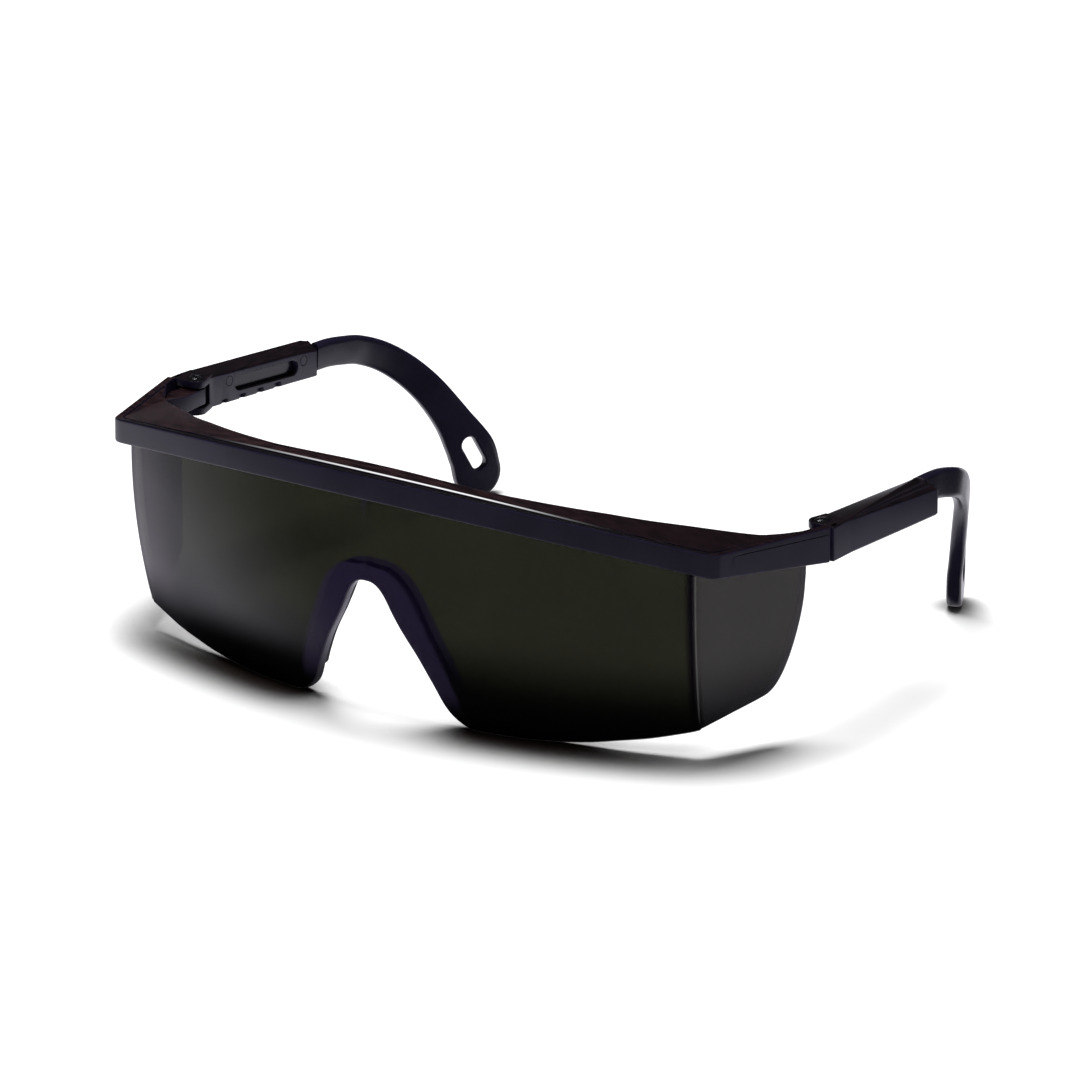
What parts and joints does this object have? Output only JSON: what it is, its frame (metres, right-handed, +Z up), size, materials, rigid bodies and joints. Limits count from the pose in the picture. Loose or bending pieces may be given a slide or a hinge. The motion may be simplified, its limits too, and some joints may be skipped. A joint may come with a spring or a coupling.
{
  "type": "welding safety spectacles",
  "caption": "Wraparound dark welding spectacles with side shields, a brow frame and hinged temples that fold in and slide out in length.",
  "frame": {"origin": "middle of the overall width and length, on the plane the spectacles stand on with the temples open and pushed in", "axes": "+X across the width, to the right as seen from the front, which is the wearer's left; -Y out of the front of the lens; +Y along the open temples towards the ears; +Z up. The names right and left are as seen from the front."},
  "size_m": [0.16, 0.1293, 0.0515],
  "materials": {
    "frame_plastic": "satin purple-black moulded nylon",
    "dark_lens": "polished dark green polycarbonate, nearly opaque",
    "nose_plastic": "soft black, matt",
    "sleeve_plastic": "satin purple-black moulded nylon",
    "arm_plastic": "semi-gloss black moulded nylon",
    "steel": "bright turned screw head"
  },
  "bodies": {
    "front": {"brow_frame": "frame_plastic", "lens": "dark_lens", "nosepiece": "nose_plastic"},
    "sleeve_right": {"sleeve_right": "sleeve_plastic", "screw_right": "steel"},
    "sleeve_left": {"sleeve_left": "sleeve_plastic", "screw_left": "steel"},
    "arm_right": {"arm_right": "arm_plastic"},
    "arm_left": {"arm_left": "arm_plastic"}
  },
  "joints": [
    {"name": "hinge_right", "type": "hinge", "parent": "front", "child": "sleeve_right", "pos_m": [0.0754, -0.01563, 0.0395], "axis": [0, 0, 1], "range_deg": [0, 96]},
    {"name": "hinge_left", "type": "hinge", "parent": "front", "child": "sleeve_left", "pos_m": [-0.0754, -0.01563, 0.0395], "axis": [0, 0, -1], "range_deg": [0, 84]},
    {"name": "length_right", "type": "slide", "parent": "sleeve_right", "child": "arm_right", "axis": [-0.0598, 0.997, -0.0498], "range_m": [0, 0.0168]},
    {"name": "length_left", "type": "slide", "parent": "sleeve_left", "child": "arm_left", "axis": [0.0598, 0.997, -0.0498], "range_m": [0, 0.0168]}
  ]
}
